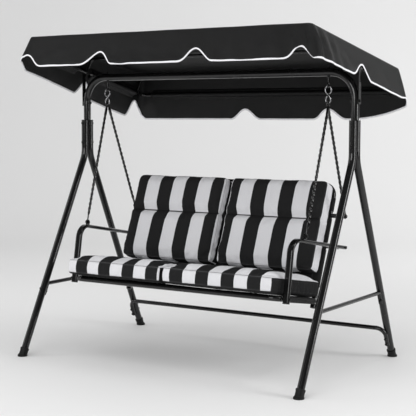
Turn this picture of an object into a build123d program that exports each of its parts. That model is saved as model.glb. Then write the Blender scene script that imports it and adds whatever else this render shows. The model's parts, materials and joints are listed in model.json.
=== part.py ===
from build123d import *
import os
from math import cos, radians, sin, tan

# Canopy swing bench. Millimetres, +Z up, +X along the bench, -Y to the front.
# The origin is on the floor, midway between the sides, straight below the swing axis.

# ---- Stand ----
SIDE_X = 800            # side frames, legs and posts lie in the planes x = +-SIDE_X
LEG_D = 36
LEG_WALL = 1.5
LEG_PITCH = 44.2        # between the upright parts of a front and a rear leg
LEG_TOP_Z = 1210
LEG_BEND_Z = 1023
LEG_BEND_R = 150
FRONT_FOOT_Y = -543
REAR_FOOT_Y = 493
SOLE = 6                # rubber under a leg's end

TOP_BAR_D = 38
TOP_BAR_WALL = 1.8
TOP_BAR_Z = 1440
TOP_BAR_BEND_R = 126
TONGUE = 8              # plate under each post, held between the two legs
TONGUE_W = 35
TONGUE_BOTTOM_Z = 1066
CLAMP_BOLT_Z = (1090, 1194)

BRACE_D = 20
BRACE_Z = 362
BRACE_TAB = 72
CROSSBAR_D = 22
CROSSBAR_Z = 172
CROSSBAR_BEND_R = 45
CROSSBAR_FOOT = 100     # length of each turned-down end

# ---- Hanging gear ----
HOOK_X = 660
SWING_Z = 1378          # swing axis, through the tops of the two S-hooks
EYE_WIRE = 6.5
EYE_HOLE = 13
HOOK_WIRE = 6.5
HANGER_D = 14           # across the twisted bar
HANGER_NECK_D = 9
HANGER_NECK = 22        # from the ring's middle to where the full bar starts
HANGER_FLAT = 34        # flattened length above the foot's bolt
HANGER_RING = 9.5       # centre line radius of a hanger's upper ring
HANGER_RING_WIRE = 5.5
HANGER_STEP = 4         # front hangers hang outside, rear ones inside the hook's middle
HANGER_EYE_D = 25
HANGER_EYE_T = 6

# ---- Seat ----
SEAT_TILT = 9.7         # the seat leans back
FRONT_RAIL = (-360, 398)
SEAT_D = 28
SEAT_WALL = 1.6
SEAT_X = 589.8          # side rails
SEAT_CORNER_R = 40
SEAT_RAIL_END = 455
SEAT_CROSS_AT = 396
BACK_RECLINE = 22       # from the vertical
BACK_FOOT_AT = 432      # where the back posts cross the side rails
BACK_X = 561.6
BACK_TOP = 602
BACK_CORNER_R = 60
BACK_BAR_D = 22
ARM_BAR_W = 276         # height of the armrests above the seat rails
HANGER_BAR_S = 442
BACK_LOW_BAR_S = 45

ARM_W = 36
ARM_T = 18
ARM_WALL = 1.5
ARM_X = 622
ARM_FLARE = 40          # the arms spread outwards to the rear
ARM_LEG_AT = 27.7
ARM_FOOT = -20
ARM_END = 505
ARM_BEND_R = 62
LUG_AT = 117
LUG_T = 4
LUG_HOLE = 299

SLING_T = 1.6
SLING_GAP = 0.3
CUSHION_GAP = 3
SEAT_CUSHION = (592, -77, 415, 17.5, 128)    # half width, front, rear, underside, top
BACK_CUSHION = (572, 130, 600, 17.5, 118)    # half width, foot, top, rear, front
BACK_CREASE = 392
CREASE_DEPTH = 24

# ---- Canopy ----
PIVOT_Z = 1473
LOOP_D = 18
LOOP_WALL = 1.2
LOOP_X = 809
LOOP_FRONT_Y = -462
LOOP_REAR_Y = 531
LOOP_TILT = 12.3
LOOP_CORNER_R = 25
LOOP_SPLIT = 160        # the rear half plugs into the front half here
BOW_D = 16
BOW_CORNER_R = 30
ROOF_X = 800
ROOF_FRONT = (-462, 1631)
ROOF_REAR = (526, 1477)
HEM_X = 868
HEM_FRONT = (-497, 1480)
HEM_REAR = (568, 1236)
CLOTH = 2
SEAM = 3                # gap left between panels at the sewn edges
BRACKET_W = 25
BRACKET_T = 4
BRACKET_FOOT_Z = 1288
BRACKET_BOLT_Z = 1304
KNOB_R = 17
KNOB_L = 20

# ---- Fasteners, M8 ----
BOLT_D = 8
BOLT_HOLE = 8.6
HEAD_D = 14.4
HEAD_H = 5.3
NUT_H = 6.5
FIT = 0.2


def unit(v):
    return v.normalized()


def bent_wire(points, radius):
    """A wire through the points with every inner corner rounded."""
    points = [Vector(*p) for p in points]
    edges = []
    start = points[0]
    for before, corner, after in zip(points, points[1:], points[2:]):
        way_in = unit(corner - before)
        way_out = unit(after - corner)
        half_turn = radians(way_in.get_angle(way_out)) / 2
        setback = radius * tan(half_turn)
        arc_start = corner - way_in * setback
        arc_end = corner + way_out * setback
        inward = unit(way_out - way_in)
        arc_middle = corner + inward * (radius / cos(half_turn) - radius)
        edges.append(Line(start, arc_start))
        edges.append(ThreePointArc(arc_start, arc_middle, arc_end))
        start = arc_end
    edges.append(Line(start, points[-1]))
    return Wire([e if isinstance(e, Edge) else e.edge() for e in edges])


def swept(profile, points, radius):
    """A profile drawn across a bent wire, its X along the axis of the first bend."""
    start, corner, after = [Vector(*p) for p in points[:3]]
    ahead = unit(corner - start)
    bend_axis = ahead.cross(after - corner)
    section = Plane(origin=start, x_dir=bend_axis, z_dir=ahead)
    return sweep(section * profile, path=bent_wire(points, radius))


def tube(points, diameter, wall, radius=1):
    outside = swept(Circle(diameter / 2), points, radius)
    inside = swept(Circle(diameter / 2 - wall), points, radius)
    return outside - inside


def rod(start, end, diameter):
    start = Vector(*start)
    end = Vector(*end)
    place = Plane(origin=start, z_dir=unit(end - start))
    return place * Cylinder(diameter / 2, (end - start).length,
                            align=(Align.CENTER, Align.CENTER, Align.MIN))


def hole(start, end, diameter=BOLT_HOLE):
    return rod(start, end, diameter)


def block(x, y, z):
    """A box from three (low, high) pairs."""
    size = [high - low for low, high in (x, y, z)]
    middle = [(high + low) / 2 for low, high in (x, y, z)]
    return Pos(*middle) * Box(*size)


def hexagon(height):
    return extrude(RegularPolygon(HEAD_D / 2, 6), height)


def bolt(start, end):
    """A hex bolt: the head bears at start, the thread ends at end."""
    start = Vector(*start)
    end = Vector(*end)
    place = Plane(origin=start, z_dir=unit(start - end))
    shank = rod(start + unit(start - end), end, BOLT_D)
    return place * hexagon(HEAD_H) + shank


def nut(face, outward):
    """A nut that bears at face and stands outward from it."""
    place = Plane(origin=Vector(*face), z_dir=Vector(*outward))
    bore = Cylinder(BOLT_D / 2 + FIT, 4 * NUT_H)
    return place * (hexagon(NUT_H) - bore)


def both_sides(part):
    """The right-hand piece and its mirror image, as separate solids."""
    return [part, mirror(part, about=Plane.YZ)]


def group(parts):
    return Compound(children=list(parts))


# ---------------------------------------------------------------- stand

def leg_line(end):
    """Pitch offset, foot y and axis direction of the front (-1) or rear (+1) leg."""
    top_y = end * LEG_PITCH / 2
    foot_y = FRONT_FOOT_Y if end < 0 else REAR_FOOT_Y
    up = unit(Vector(0, top_y - foot_y, LEG_BEND_Z))
    return top_y, foot_y, up


def leg_y(end, z):
    """The y of a leg's axis at height z, below the bend."""
    top_y, foot_y, _ = leg_line(end)
    return foot_y + (top_y - foot_y) * z / LEG_BEND_Z


def leg_face(end, z):
    """The point at height z on the face of a leg that looks at the other leg."""
    _, _, up = leg_line(end)
    inward = Vector(0, -end * up.Z, end * up.Y)
    return Vector(SIDE_X, leg_y(end, z), z) + inward * (LEG_D / 2), inward


def brace_bolt_line(end):
    face, inward = leg_face(end, BRACE_Z - BRACE_TAB * 0.55)
    return face, inward


def crossbar_bolt_points():
    """Two points on the front face of the rear leg, with its inward direction."""
    _, _, up = leg_line(1)
    face, inward = leg_face(1, CROSSBAR_Z)
    return [face - up * (CROSSBAR_BEND_R + step) for step in (12, 42)], inward


def leg(end):
    """The right-hand front (-1) or rear (+1) leg."""
    top_y, foot_y, up = leg_line(end)
    below = Vector(SIDE_X, foot_y, 0) - up * 40
    points = [(SIDE_X, top_y, LEG_TOP_Z), (SIDE_X, top_y, LEG_BEND_Z), below]
    body = tube(points, LEG_D, LEG_WALL, LEG_BEND_R)
    body -= block((SIDE_X - 60, SIDE_X + 60), (foot_y - 99, foot_y + 99), (-99, SOLE))
    for z in CLAMP_BOLT_Z:
        body -= hole((SIDE_X, -99, z), (SIDE_X, 99, z))
    face, inward = brace_bolt_line(end)
    body -= hole((face + inward * 30), (face - inward * 99))
    if end > 0:
        faces, inward = crossbar_bolt_points()
        for face in faces:
            body -= hole((face + inward * 30), (face - inward * 99))
    return body


def foot(end):
    """Flared cap on a right-hand leg, flat on the floor."""
    flange_r = 25
    flange_h = 7
    sleeve_r = LEG_D / 2 + 3
    _, foot_y, up = leg_line(end)
    ground = Vector(SIDE_X, foot_y, 0)
    sleeve = rod((ground - up * 30), (ground + up * 40), 2 * sleeve_r)
    collar = rod((ground + up * 34), (ground + up * 42), 2 * sleeve_r + 3)
    flange = Pos(SIDE_X, foot_y, flange_h / 2) * Cylinder(flange_r, flange_h)
    flare = Pos(SIDE_X, foot_y, flange_h + 4) * Cone(flange_r, sleeve_r - 3, 8)
    cap = sleeve + collar + flange + flare
    cap -= block((SIDE_X - 99, SIDE_X + 99), (foot_y - 99, foot_y + 99), (-99, 0))
    socket = rod((ground - up * 40), (ground + up * 60), LEG_D + FIT)
    socket -= block((SIDE_X - 99, SIDE_X + 99), (foot_y - 99, foot_y + 99), (-99, SOLE))
    return cap - socket


def leg_plug(end):
    """Plug in the open top of a right-hand leg."""
    top_y, _, _ = leg_line(end)
    cap = Pos(SIDE_X, top_y, LEG_TOP_Z + 1.25) * Cylinder(LEG_D / 2, 2.5)
    cap = fillet(cap.edges().group_by(Axis.Z)[-1], 1.5)
    stem_r = LEG_D / 2 - LEG_WALL - FIT / 2
    return cap + Pos(SIDE_X, top_y, LEG_TOP_Z - 4.5) * Cylinder(stem_r, 9)


def top_bar():
    """Inverted U: the beam and both posts, with a welded tongue under each post."""
    foot_z = LEG_TOP_Z + 3.5
    points = [(-SIDE_X, 0, foot_z), (-SIDE_X, 0, TOP_BAR_Z), (SIDE_X, 0, TOP_BAR_Z),
              (SIDE_X, 0, foot_z)]
    body = tube(points, TOP_BAR_D, TOP_BAR_WALL, TOP_BAR_BEND_R)
    for x in (-SIDE_X, SIDE_X):
        half = TONGUE_W / 2
        tongue = block((x - half, x + half), (-TONGUE / 2, TONGUE / 2),
                       (TONGUE_BOTTOM_Z, foot_z + 30))
        for z in CLAMP_BOLT_Z:
            tongue -= hole((x, -20, z), (x, 20, z))
        body += tongue
        body -= hole((x - 60, 0, BRACKET_BOLT_Z), (x + 60, 0, BRACKET_BOLT_Z))
    for x in (-HOOK_X, HOOK_X):
        body -= hole((x, 0, TOP_BAR_Z - 40), (x, 0, TOP_BAR_Z + 40))
    return body


def clamp_bolts():
    reach = LEG_PITCH / 2 + LEG_D / 2
    return [bolt((SIDE_X, -reach, z), (SIDE_X, reach + NUT_H + 2, z)) for z in CLAMP_BOLT_Z]


def clamp_nuts():
    reach = LEG_PITCH / 2 + LEG_D / 2
    return [nut((SIDE_X, reach, z), (0, 1, 0)) for z in CLAMP_BOLT_Z]


def side_brace():
    """Right-hand tie between the legs, with a flat tab turned down along each leg."""
    tab_t = 4
    ends = []
    tabs = []
    for end in (-1, 1):
        _, _, up = leg_line(end)
        face, inward = leg_face(end, BRACE_Z)
        axis_end = face + inward * (tab_t / 2)
        ends.append(axis_end)
        place = Plane(origin=axis_end, x_dir=(1, 0, 0), z_dir=up)
        flat = place * Pos(0, 0, 6 - BRACE_TAB / 2) * Box(BRACE_D, tab_t, BRACE_TAB)
        bolt_face, _ = brace_bolt_line(end)
        flat -= hole((bolt_face + inward * 20), (bolt_face - inward * 20))
        tabs.append(flat)
    body = rod(ends[0], ends[1], BRACE_D)
    body -= rod(ends[0], ends[1], BRACE_D - 3)
    for end in (-1, 1):
        _, _, up = leg_line(end)
        middle = Vector(SIDE_X, leg_y(end, BRACE_Z), BRACE_Z)
        body -= rod((middle - up * 99), (middle + up * 99), LEG_D + 2)
    return body + tabs[0] + tabs[1]


def brace_bolts():
    parts = []
    for end in (-1, 1):
        face, inward = brace_bolt_line(end)
        back = face - inward * LEG_D
        tip = face + inward * (4 + NUT_H + 2)
        parts.append(bolt(back, tip))
    return parts


def brace_nuts():
    parts = []
    for end in (-1, 1):
        face, inward = brace_bolt_line(end)
        parts.append(nut((face + inward * 4), inward))
    return parts


def rear_crossbar():
    """Tube across the rear legs, with both ends turned down along the legs' front faces."""
    _, _, up = leg_line(1)
    face, inward = leg_face(1, CROSSBAR_Z)
    corner = face + inward * (CROSSBAR_D / 2 + 0.1)
    toe = corner - up * CROSSBAR_FOOT
    points = [(-SIDE_X, toe.Y, toe.Z), (-SIDE_X, corner.Y, corner.Z),
              (SIDE_X, corner.Y, corner.Z), (SIDE_X, toe.Y, toe.Z)]
    body = tube(points, CROSSBAR_D, 1.5, CROSSBAR_BEND_R)
    faces, inward = crossbar_bolt_points()
    for face in faces:
        for side in (-1, 1):
            start = (side * SIDE_X, (face + inward * 60).Y, (face + inward * 60).Z)
            stop = (side * SIDE_X, (face - inward * 60).Y, (face - inward * 60).Z)
            body -= hole(start, stop)
    return body


def crossbar_bolts():
    faces, inward = crossbar_bolt_points()
    grip = CROSSBAR_D + 0.1
    return [bolt((face + inward * grip),
                 (face - inward * (LEG_D + NUT_H + 2))) for face in faces]


def crossbar_nuts():
    faces, inward = crossbar_bolt_points()
    return [nut((face - inward * LEG_D), (inward * -1)) for face in faces]


# --------------------------------------------------------- hanging gear

def eye_bolt():
    """Right-hand eye under the top bar; the ring stands across the bench."""
    ring_r = (EYE_HOLE + EYE_WIRE) / 2
    ring_z = SWING_Z + EYE_HOLE / 2 - HOOK_WIRE / 2 - FIT
    ring = Plane(origin=(HOOK_X, 0, ring_z), z_dir=(1, 0, 0)) * Torus(ring_r, EYE_WIRE / 2)
    top_z = TOP_BAR_Z + TOP_BAR_D / 2 + NUT_H + 3
    return ring + rod((HOOK_X, 0, ring_z + ring_r), (HOOK_X, 0, top_z), BOLT_D)


def eye_nuts():
    reach = TOP_BAR_D / 2
    return [nut((HOOK_X, 0, TOP_BAR_Z + reach), (0, 0, 1)),
            nut((HOOK_X, 0, TOP_BAR_Z - reach), (0, 0, -1))]


def s_hook():
    """Right-hand S-hook, its two loops nearly closed, flat in the XZ plane."""
    outline = [(5.6, -39), (16, -21), (9.5, -4.5), (0, 0), (-9.5, -4.5), (-16, -21), (-0.3, -44),
               (12.5, -64), (8, -79), (0, -82.3), (-8, -79), (-12.5, -64), (-5.4, -49.2)]
    line = Spline([(HOOK_X + x, 0, SWING_Z + z) for x, z in outline])
    section = Plane(origin=line @ 0, z_dir=line % 0) * Circle(HOOK_WIRE / 2)
    return sweep(section, path=line)


def hanger(ring_x, foot):
    """Twisted hanger: ring on the hook, slim neck, straight bar, flat eye at the foot."""
    top = Vector(ring_x, 0, SWING_Z - 83.5)
    foot = Vector(*foot)
    down = unit(foot - top)
    ring = Plane(origin=top, z_dir=(1, 0, 0)) * Torus(HANGER_RING, HANGER_RING_WIRE / 2)
    end = foot - down * (HANGER_EYE_D / 2 - 2)
    bar = rod(top + down * HANGER_NECK, end, HANGER_D)
    bar += rod(top + down * HANGER_RING, end, HANGER_NECK_D)
    eye = Plane(origin=foot, z_dir=(1, 0, 0)) * Cylinder(HANGER_EYE_D / 2, HANGER_EYE_T)
    bore = hole((foot.X - 20, foot.Y, foot.Z), (foot.X + 20, foot.Y, foot.Z))
    slab = block((foot.X + HANGER_EYE_T / 2, foot.X + 20), (foot.Y - 40, foot.Y + 40),
                 (foot.Z - 40, foot.Z + HANGER_FLAT))
    return ring + (bar - slab - mirror_in_x(slab, foot.X)) + eye - bore


def mirror_in_x(part, x):
    return mirror(part, about=Plane(origin=(x, 0, 0), z_dir=(1, 0, 0)))


# ----------------------------------------------------------------- seat

TILT = radians(SEAT_TILT)
SEAT = Plane(origin=(0, *FRONT_RAIL), x_dir=(1, 0, 0), z_dir=(0, sin(TILT), cos(TILT)))
RECLINE = radians(BACK_RECLINE)
BACK = Plane(origin=SEAT.from_local_coords(Vector(0, BACK_FOOT_AT, 0)), x_dir=(1, 0, 0),
             z_dir=(0, -cos(RECLINE), sin(RECLINE)))
ARM_BOLT_AT = BACK_FOOT_AT + ARM_BAR_W * tan(RECLINE - TILT)


def arm_x(at):
    """The x of an armrest's middle at a distance behind the front rail."""
    return ARM_X + ARM_FLARE * (at - ARM_LEG_AT) / (ARM_END - ARM_LEG_AT)


def back_s(w):
    """Distance up the back from its foot, for a height w above the seat rails."""
    return w / cos(RECLINE - TILT)


def seat_frame():
    """Bent U of the front and side rails with a welded cross rail at the rear."""
    points = [(-SEAT_X, SEAT_RAIL_END, 0), (-SEAT_X, 0, 0), (SEAT_X, 0, 0),
              (SEAT_X, SEAT_RAIL_END, 0)]
    body = tube(points, SEAT_D, SEAT_WALL, SEAT_CORNER_R)
    reach = SEAT_X - SEAT_D / 2 + 0.8
    cross = rod((-reach, SEAT_CROSS_AT, -2), (reach, SEAT_CROSS_AT, -2), BACK_BAR_D)
    cross -= rod((-reach, SEAT_CROSS_AT, -2), (reach, SEAT_CROSS_AT, -2), BACK_BAR_D - 3)
    body += cross
    for side in (-1, 1):
        bush_in = (side * 572, ARM_LEG_AT, 0)
        bush_out = (side * (ARM_X - ARM_W / 2 - FIT), ARM_LEG_AT, 0)
        body += rod(bush_in, bush_out, 16)
        body -= hole((side * 500, ARM_LEG_AT, 0), (side * 700, ARM_LEG_AT, 0),
                     BOLT_D + 2 * FIT)
        body -= hole((side * 500, BACK_FOOT_AT, 0), (side * 700, BACK_FOOT_AT, 0))
    return SEAT * body


def back_bar(s, reach):
    """A cross bar through the back posts, with a solid threaded end on each side."""
    bar = rod((-reach, s, 0), (reach, s, 0), BACK_BAR_D)
    core = rod((-reach + 14, s, 0), (reach - 14, s, 0), BACK_BAR_D - 3)
    thread = rod((-reach - 1, s, 0), (reach + 1, s, 0), BOLT_D + 2 * FIT)
    return bar - core - thread


def arm_bar_reach():
    return arm_x(ARM_BOLT_AT) - ARM_W / 2 - 1.5


def back_frame():
    """Inverted U of the back with its cross bars, welded into one piece."""
    foot_s = -34
    points = [(-BACK_X, foot_s, 0), (-BACK_X, BACK_TOP, 0), (BACK_X, BACK_TOP, 0),
              (BACK_X, foot_s, 0)]
    body = tube(points, SEAT_D, SEAT_WALL, BACK_CORNER_R)
    body += back_bar(back_s(ARM_BAR_W), arm_bar_reach())
    body += back_bar(HANGER_BAR_S, rear_foot_x() - HANGER_EYE_T / 2 - FIT)
    reach = BACK_X - SEAT_D / 2 + 0.8
    low = rod((-reach, BACK_LOW_BAR_S, 0), (reach, BACK_LOW_BAR_S, 0), BACK_BAR_D)
    low -= rod((-reach, BACK_LOW_BAR_S, 0), (reach, BACK_LOW_BAR_S, 0), BACK_BAR_D - 3)
    body += low
    for side in (-1, 1):
        body -= hole((side * 500, 0, 0), (side * 620, 0, 0))
    return BACK * body


def arm_line():
    return [(ARM_X, ARM_LEG_AT, ARM_FOOT), (ARM_X, ARM_LEG_AT, ARM_BAR_W),
            (ARM_X + ARM_FLARE, ARM_END, ARM_BAR_W)]


def front_lug_x():
    return arm_x(LUG_AT) + ARM_W / 2 - 1


def front_foot_x():
    return front_lug_x() + FIT + HANGER_EYE_T / 2


def rear_foot_x():
    return HOOK_X - 12


def armrest():
    """Right-hand armrest: one bent flat-oval tube with the front hanger's lug."""
    outside = swept(SlotOverall(ARM_W, ARM_T), arm_line(), ARM_BEND_R)
    inside = swept(SlotOverall(ARM_W - 2 * ARM_WALL, ARM_T - 2 * ARM_WALL), arm_line(),
                   ARM_BEND_R)
    body = outside - inside
    lug_foot = ARM_BAR_W + ARM_T / 2 - 4
    lug = block((front_lug_x() - LUG_T, front_lug_x()), (LUG_AT - 13, LUG_AT + 13),
                (lug_foot, LUG_HOLE))
    round_top = Plane(origin=(front_lug_x() - LUG_T / 2, LUG_AT, LUG_HOLE), z_dir=(1, 0, 0))
    lug += round_top * Cylinder(13, LUG_T)
    lug -= hole((500, LUG_AT, LUG_HOLE), (700, LUG_AT, LUG_HOLE))
    body += lug - inside
    body -= hole((500, ARM_LEG_AT, 0), (700, ARM_LEG_AT, 0))
    body -= hole((500, ARM_BOLT_AT, ARM_BAR_W), (740, ARM_BOLT_AT, ARM_BAR_W))
    return SEAT * body


def arm_plugs():
    """Flush plugs in the foot and in the rear end of a right-hand armrest."""
    line = [Vector(*p) for p in arm_line()]
    plugs = []
    bend_axis = (line[1] - line[0]).cross(line[2] - line[1])
    for end in (line[0], line[2]):
        place = Plane(origin=end, x_dir=bend_axis, z_dir=unit(end - line[1]))
        stem = SlotOverall(ARM_W - 2 * ARM_WALL - FIT, ARM_T - 2 * ARM_WALL - FIT)
        plug = extrude(SlotOverall(ARM_W, ARM_T), 2) + extrude(stem, -5)
        plugs.append(SEAT * (place * plug))
    return plugs


def round_plug(depth=10):
    """A plug for an open seat tube, head up at the origin."""
    head = Pos(0, 0, 1) * Cylinder(SEAT_D / 2, 2)
    stem = Cylinder(SEAT_D / 2 - SEAT_WALL - FIT / 2, depth,
                    align=(Align.CENTER, Align.CENTER, Align.MAX))
    return head + stem


def frame_plugs():
    rail_end = SEAT * Plane(origin=(SEAT_X, SEAT_RAIL_END, 0), z_dir=(0, 1, 0)) * round_plug()
    post_end = BACK * Plane(origin=(BACK_X, -34, 0), z_dir=(0, -1, 0)) * round_plug()
    return [rail_end, post_end]


def seat_sling():
    """Woven seat support on top of the rails."""
    low = SEAT_D / 2 + SLING_GAP
    return SEAT * block((-SEAT_X, SEAT_X), (0, SEAT_CROSS_AT + 8), (low, low + SLING_T))


def back_sling():
    """Woven back support in front of the back posts."""
    low = SEAT_D / 2 + SLING_GAP
    return BACK * block((-BACK_X, BACK_X), (BACK_LOW_BAR_S, BACK_TOP), (low, low + SLING_T))


def rounded(part, radius):
    return fillet(part.edges(), radius)


def seat_cushion():
    """Right-hand seat cushion, a plain padded block."""
    half, front, rear, low, high = SEAT_CUSHION
    return SEAT * rounded(block((CUSHION_GAP, half), (front, rear), (low, high)), 30)


def back_cushion():
    """Right-hand back cushion with a head roll above the crease."""
    half, low, high, rear, front = BACK_CUSHION
    body = rounded(block((CUSHION_GAP, half), (low, high), (rear, front)), 28)
    crease = Pos((CUSHION_GAP + half) / 2, BACK_CREASE, front) * Rot(45, 0, 0)
    return BACK * (body - crease * Box(half, CREASE_DEPTH, CREASE_DEPTH))


def seat_point(x, at, w):
    return SEAT.from_local_coords(Vector(x, at, w))


def back_point(x, s, n=0):
    return BACK.from_local_coords(Vector(x, s, n))


def arm_front_bolt():
    outer = ARM_X + ARM_W / 2
    return bolt(seat_point(outer, ARM_LEG_AT, 0), seat_point(566, ARM_LEG_AT, 0))


def frame_joint_bolt():
    outer = SEAT_X + SEAT_D / 2
    inner = BACK_X - SEAT_D / 2
    return bolt(seat_point(outer, BACK_FOOT_AT, 0),
                seat_point(inner - NUT_H - 2, BACK_FOOT_AT, 0))


def frame_joint_nut():
    return nut(seat_point(BACK_X - SEAT_D / 2, BACK_FOOT_AT, 0), (-1, 0, 0))


def arm_rear_bolt():
    head = arm_x(ARM_BOLT_AT) + ARM_W / 2 + 0.8
    return bolt(seat_point(head, ARM_BOLT_AT, ARM_BAR_W),
                seat_point(head - 56, ARM_BOLT_AT, ARM_BAR_W))


def hanger_rear_bolt():
    head = rear_foot_x() + HANGER_EYE_T / 2
    return bolt(back_point(head, HANGER_BAR_S), back_point(head - 25, HANGER_BAR_S))


def hanger_front_bolt():
    head = front_foot_x() + HANGER_EYE_T / 2
    stop = front_lug_x() - LUG_T - NUT_H - 1.5
    return bolt(seat_point(head, LUG_AT, LUG_HOLE), seat_point(stop, LUG_AT, LUG_HOLE))


def hanger_front_nut():
    return nut(seat_point(front_lug_x() - LUG_T, LUG_AT, LUG_HOLE), (-1, 0, 0))


def front_hanger():
    return hanger(HOOK_X + HANGER_STEP, seat_point(front_foot_x(), LUG_AT, LUG_HOLE))


def rear_hanger():
    return hanger(HOOK_X - HANGER_STEP, back_point(rear_foot_x(), HANGER_BAR_S))


# --------------------------------------------------------------- canopy

LEAN = radians(LOOP_TILT)
LOOP = Plane(origin=(0, 0, PIVOT_Z), x_dir=(1, 0, 0), z_dir=(0, sin(LEAN), cos(LEAN)))


def loop_half(near, far):
    """A U of the loop: legs end at near, the cross rail lies at far (loop plane)."""
    points = [(-LOOP_X, near, 0), (-LOOP_X, far, 0), (LOOP_X, far, 0), (LOOP_X, near, 0)]
    return tube(points, LOOP_D, LOOP_WALL, LOOP_CORNER_R)


def bow_places():
    """Distance of each bow from the pivot in the loop plane, and its height above it."""
    places = []
    for share in (0.056, 0.5, 0.972):
        y = ROOF_FRONT[0] + (ROOF_REAR[0] - ROOF_FRONT[0]) * share
        z = ROOF_FRONT[1] + (ROOF_REAR[1] - ROOF_FRONT[1]) * share
        local = LOOP.to_local_coords(Vector(0, y, z))
        places.append((local.Y, local.Z - CLOTH - 1.5 - BOW_D / 2))
    return places


def spigot_holes():
    """Holes in the loop's top for the bows' spigots."""
    cuts = []
    for at, _ in bow_places():
        for side in (-1, 1):
            cuts.append(hole((side * LOOP_X, at, 0), (side * LOOP_X, at, 20)))
    return cuts


def front_loop():
    """Front half of the canopy loop; the tilt bolts pass through its sides."""
    body = loop_half(LOOP_SPLIT, LOOP_FRONT_Y / cos(LEAN))
    for side in (-1, 1):
        body -= hole((side * 760, 0, 0), (side * 860, 0, 0))
    for cut in spigot_holes():
        body -= cut
    return LOOP * body


def rear_loop():
    """Rear half of the canopy loop, with a spigot plugged into each side of the front half."""
    body = loop_half(LOOP_SPLIT + 0.3, LOOP_REAR_Y / cos(LEAN))
    spigot_r = LOOP_D / 2 - LOOP_WALL - FIT
    for side in (-1, 1):
        x = side * LOOP_X
        body += rod((x, LOOP_SPLIT - 35, 0), (x, LOOP_SPLIT + 25, 0), 2 * spigot_r)
        body += rod((x, LOOP_SPLIT + 5, 0), (x, LOOP_SPLIT + 25, 0), LOOP_D - 1)
    for cut in spigot_holes():
        body -= cut
    return LOOP * body


def bow(at, height):
    """A raised hoop across the loop that carries a roof fold, on a spigot at each end."""
    rest = LOOP_D / 2 + 1.2
    top_x = ROOF_X - BOW_D / 2 - 3
    points = [(-LOOP_X, at, rest), (-top_x, at, height), (top_x, at, height), (LOOP_X, at, rest)]
    body = tube(points, BOW_D, 1.2, BOW_CORNER_R)
    for end, inner in ((points[0], points[1]), (points[3], points[2])):
        along = unit(Vector(*inner) - Vector(*end))
        body += rod(end, Vector(*end) + along * 12, BOW_D - 1)
        body += rod((end[0], at, 1.5), (end[0], at, rest + 6), BOLT_D)
    return LOOP * body


def sheet(corners, inward):
    """A closed sheet of cloth on four corners, its thickness laid inward."""
    outer = [Vector(*c) for c in corners]
    shift = unit(Vector(*inward)) * CLOTH
    inner = [c + shift for c in outer]
    faces = []
    for ring in (outer, inner):
        faces.append(Face(Wire.make_polygon([ring[0], ring[1], ring[2]])))
        faces.append(Face(Wire.make_polygon([ring[0], ring[2], ring[3]])))
    for i in range(4):
        j = (i + 1) % 4
        faces.append(Face(Wire.make_polygon([outer[i], outer[j], inner[j], inner[i]])))
    return Solid(Shell(faces))


def canopy_roof():
    x = ROOF_X - SEAM
    front_y, front_z = ROOF_FRONT
    rear_y, rear_z = ROOF_REAR
    run = rear_y - front_y
    drop = (rear_z - front_z) / run
    front = (front_y + SEAM, front_z + drop * SEAM)
    rear = (rear_y - SEAM, rear_z - drop * SEAM)
    corners = [(-x, *front), (x, *front), (x, *rear), (-x, *rear)]
    return sheet(corners, (0, drop, -1))


def end_valance(roof, hem, inward_y):
    """The front or the rear valance."""
    corners = [(-ROOF_X + SEAM, *roof), (ROOF_X - SEAM, *roof), (HEM_X - SEAM, *hem),
               (-HEM_X + SEAM, *hem)]
    lean = (roof[0] - hem[0]) / (roof[1] - hem[1])
    return sheet(corners, (0, inward_y, -inward_y * lean))


def side_valance():
    """The right-hand valance, a slightly twisted sheet from roof edge to hem."""
    corners = [(ROOF_X, *ROOF_REAR), (HEM_X, *HEM_REAR), (HEM_X, *HEM_FRONT), (ROOF_X, *ROOF_FRONT)]
    return sheet(corners, (-1, 0, -0.35))


def canopy_bracket():
    """Right-hand flat bar up from a saddle that hugs the post."""
    post_r = TOP_BAR_D / 2
    outer = SIDE_X + post_r + 0.5
    saddle = Pos(SIDE_X, 0, BRACKET_FOOT_Z) * extrude(Circle(post_r + 3.5), 24)
    saddle -= Pos(SIDE_X, 0, BRACKET_FOOT_Z - 1) * extrude(Circle(post_r + 0.2), 26)
    saddle &= block((SIDE_X + 9, SIDE_X + 60), (-30, 30), (0, 2000))
    half = BRACKET_W / 2
    bar = block((outer, outer + BRACKET_T), (-half, half), (BRACKET_FOOT_Z, PIVOT_Z))
    bar += Plane(origin=(outer + BRACKET_T / 2, 0, PIVOT_Z), z_dir=(1, 0, 0)) * \
        Cylinder(half, BRACKET_T)
    body = bar + saddle
    for z in (BRACKET_BOLT_Z, PIVOT_Z):
        body -= hole((SIDE_X - 60, 0, z), (SIDE_X + 60, 0, z))
    return body


def bracket_bolt():
    head = SIDE_X + TOP_BAR_D / 2 + 0.5 + BRACKET_T
    tip = SIDE_X - TOP_BAR_D / 2 - NUT_H - 2
    return bolt((head, 0, BRACKET_BOLT_Z), (tip, 0, BRACKET_BOLT_Z))


def bracket_nut():
    return nut((SIDE_X - TOP_BAR_D / 2, 0, BRACKET_BOLT_Z), (-1, 0, 0))


def tilt_bolt():
    """Low-headed bolt that the canopy loop turns on."""
    bearing = SIDE_X + TOP_BAR_D / 2 + 0.5 + BRACKET_T
    inner_end = LOOP_X - LOOP_D / 2 - KNOB_L + 4
    head = Plane(origin=(bearing, 0, PIVOT_Z), z_dir=(1, 0, 0)) * extrude(Circle(7), 2)
    return head + rod((bearing + 1, 0, PIVOT_Z), (inner_end, 0, PIVOT_Z), BOLT_D)


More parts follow.
